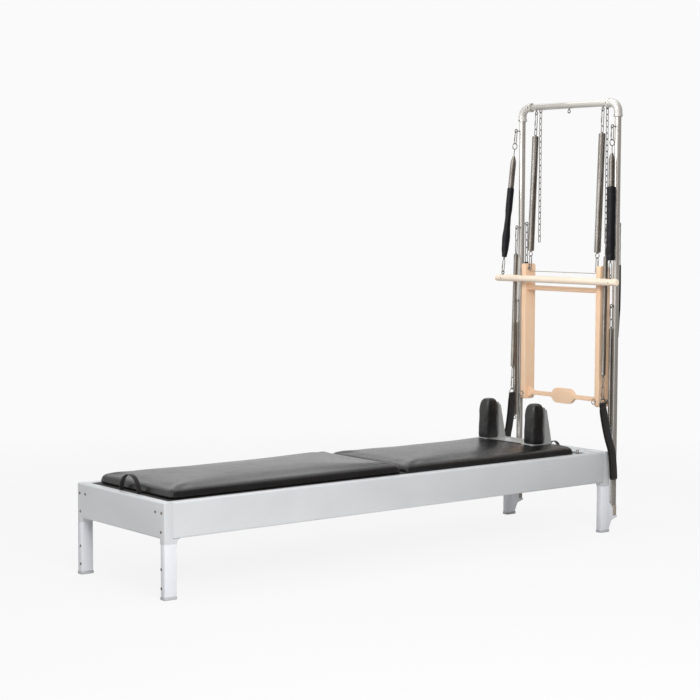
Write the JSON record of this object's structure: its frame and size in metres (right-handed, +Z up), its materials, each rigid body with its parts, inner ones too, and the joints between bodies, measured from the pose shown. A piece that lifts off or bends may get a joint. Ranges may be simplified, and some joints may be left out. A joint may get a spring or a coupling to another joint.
{
  "type": "pilates bed with half tower",
  "caption": "Low metal exercise bed with a padded mat, a wheeled carriage with shoulder rests, and a tube tower holding springs, a roll-down bar and a push-through frame.",
  "frame": {"origin": "on the floor under the middle of the whole unit's bounding box", "axes": "+Z up, +X along the bed from its foot end to the tower, +Y across the bed"},
  "size_m": [2.5784, 0.822, 2.0595],
  "materials": {
    "frame_metal": "satin anodised",
    "foot_plastic": "matte pale",
    "track_metal": "mill finish",
    "tube_steel": "polished",
    "fitting_metal": "satin",
    "cap_plastic": "matte taupe",
    "spring_steel": "polished dark",
    "chain_chrome": "bright",
    "pad_vinyl": "soft satin black",
    "webbing": "woven black",
    "sleeve_cloth": "matte blue-black",
    "maple": "satin lacquer",
    "mat_ply": "plain plywood",
    "bracket_metal": "satin",
    "wheel_plastic": "matte dark"
  },
  "bodies": {
    "frame": {"near_side_rail": "frame_metal", "far_side_rail": "frame_metal", "foot_end_rail": "frame_metal", "head_end_rail": "frame_metal", "foot_near_leg": "frame_metal", "foot_near_foot_pad": "foot_plastic", "foot_far_leg": "frame_metal", "foot_far_foot_pad": "foot_plastic", "head_near_leg": "frame_metal", "head_near_foot_pad": "foot_plastic", "head_far_leg": "frame_metal", "head_far_foot_pad": "foot_plastic", "near_track": "track_metal", "far_track": "track_metal", "spring_bar": "track_metal", "near_carriage_spring": "spring_steel", "far_carriage_spring": "spring_steel", "near_post": "tube_steel", "far_post": "tube_steel", "top_tube": "tube_steel", "near_elbow": "fitting_metal", "far_elbow": "fitting_metal", "near_post_cap": "cap_plastic", "near_post_mount": "fitting_metal", "far_post_cap": "cap_plastic", "far_post_mount": "fitting_metal", "near_frame_spring": "spring_steel", "far_frame_spring": "spring_steel", "near_leg_spring": "spring_steel", "far_leg_spring": "spring_steel"},
    "mat": {"mat_board": "mat_ply", "front_mat": "pad_vinyl", "mat_pull_loop": "webbing"},
    "carriage": {"carriage_platform": "frame_metal", "carriage_pad": "pad_vinyl"},
    "front_near_wheel": {"front_near_wheel": "wheel_plastic"},
    "front_far_wheel": {"front_far_wheel": "wheel_plastic"},
    "rear_near_wheel": {"rear_near_wheel": "wheel_plastic"},
    "rear_far_wheel": {"rear_far_wheel": "wheel_plastic"},
    "shoulder_rests": {"shoulder_rest_bracket": "bracket_metal", "near_shoulder_pad": "pad_vinyl", "far_shoulder_pad": "pad_vinyl"},
    "push_frame": {"near_board": "maple", "far_board": "maple", "upper_rail": "maple", "lower_rail": "maple"},
    "bar_hangers": {"near_bar_spring": "spring_steel", "near_bar_sleeve": "sleeve_cloth", "far_bar_spring": "spring_steel", "far_bar_sleeve": "sleeve_cloth"},
    "roll_bar": {"roll_down_bar": "maple"},
    "near_loop": {"near_padded_loop": "webbing"},
    "far_loop": {"far_padded_loop": "webbing"},
    "near_low_spring": {"near_low_spring": "spring_steel"},
    "far_low_spring": {"far_low_spring": "spring_steel"},
    "near_chain": {"near_chain": "chain_chrome"},
    "far_chain": {"far_chain": "chain_chrome"},
    "near_strap": {"near_safety_strap": "webbing"},
    "far_strap": {"far_safety_strap": "webbing"}
  },
  "joints": [
    {"name": "mat_lift", "type": "slide", "parent": "frame", "child": "mat", "axis": [0, 0, 1], "range_m": [0, 0.15]},
    {"name": "carriage_slide", "type": "slide", "parent": "frame", "child": "carriage", "axis": [1, 0, 0], "range_m": [0, 0.07], "stiffness_N_per_m": 500, "springref_m": -0.05, "deforming": ["near_carriage_spring", "far_carriage_spring"]},
    {"name": "front_near_wheel_spin", "type": "hinge", "parent": "carriage", "child": "front_near_wheel", "pos_m": [0.11285, -0.2807, 0.3238], "axis": [0, 1, 0], "range_deg": [-1, 150]},
    {"name": "front_far_wheel_spin", "type": "hinge", "parent": "carriage", "child": "front_far_wheel", "pos_m": [0.11285, 0.2807, 0.3238], "axis": [0, 1, 0], "range_deg": [-1, 150]},
    {"name": "rear_near_wheel_spin", "type": "hinge", "parent": "carriage", "child": "rear_near_wheel", "pos_m": [0.95285, -0.2807, 0.3238], "axis": [0, 1, 0], "range_deg": [-1, 150]},
    {"name": "rear_far_wheel_spin", "type": "hinge", "parent": "carriage", "child": "rear_far_wheel", "pos_m": [0.95285, 0.2807, 0.3238], "axis": [0, 1, 0], "range_deg": [-1, 150]},
    {"name": "shoulder_rest_lift", "type": "slide", "parent": "carriage", "child": "shoulder_rests", "axis": [0, 0, 1], "range_m": [0, 0.1]},
    {"name": "push_through", "type": "hinge", "parent": "frame", "child": "push_frame", "pos_m": [1.24985, 0, 0.617], "axis": [0, 1, 0], "range_deg": [0, 60], "stiffness_Nm_per_rad": 40, "springref_deg": -11.46, "deforming": ["near_frame_spring", "far_frame_spring"]},
    {"name": "roll_bar_swing", "type": "hinge", "parent": "frame", "child": "bar_hangers", "pos_m": [1.20884, 0, 1.923], "axis": [0, 1, 0], "range_deg": [0, 35]},
    {"name": "roll_bar_pull", "type": "slide", "parent": "bar_hangers", "child": "roll_bar", "axis": [-0.0624, 0, -0.9981], "range_m": [0, 0.15], "stiffness_N_per_m": 600, "springref_m": -0.03, "deforming": ["near_bar_spring", "far_bar_spring"]},
    {"name": "near_loop_swing", "type": "hinge", "parent": "frame", "child": "near_loop", "pos_m": [1.18484, -0.311, 0.633], "axis": [0, 1, 0], "range_deg": [0, 60]},
    {"name": "far_loop_swing", "type": "hinge", "parent": "frame", "child": "far_loop", "pos_m": [1.18484, 0.311, 0.633], "axis": [0, 1, 0], "range_deg": [0, 60]},
    {"name": "near_low_spring_swing", "type": "hinge", "parent": "frame", "child": "near_low_spring", "pos_m": [1.21884, -0.326, 1.069], "axis": [-1, 0, 0], "range_deg": [0, 30]},
    {"name": "far_low_spring_swing", "type": "hinge", "parent": "frame", "child": "far_low_spring", "pos_m": [1.21884, 0.326, 1.069], "axis": [1, 0, 0], "range_deg": [0, 30]},
    {"name": "near_chain_swing", "type": "hinge", "parent": "frame", "child": "near_chain", "pos_m": [1.27201, -0.229, 2.0183], "axis": [0, -1, 0], "range_deg": [0, 30]},
    {"name": "far_chain_swing", "type": "hinge", "parent": "frame", "child": "far_chain", "pos_m": [1.27201, 0.213, 2.0183], "axis": [0, -1, 0], "range_deg": [0, 30]},
    {"name": "near_strap_swing", "type": "hinge", "parent": "frame", "child": "near_strap", "pos_m": [1.27885, -0.315, 1.462], "axis": [0, -1, 0], "range_deg": [0, 30]},
    {"name": "far_strap_swing", "type": "hinge", "parent": "frame", "child": "far_strap", "pos_m": [1.27885, 0.315, 1.462], "axis": [0, -1, 0], "range_deg": [0, 30]}
  ],
  "couplings": [
    {"joint": "front_near_wheel_spin", "follows": "carriage_slide", "rad_per_m": 35.714},
    {"joint": "front_far_wheel_spin", "follows": "carriage_slide", "rad_per_m": 35.714},
    {"joint": "rear_near_wheel_spin", "follows": "carriage_slide", "rad_per_m": 35.714},
    {"joint": "rear_far_wheel_spin", "follows": "carriage_slide", "rad_per_m": 35.714}
  ]
}
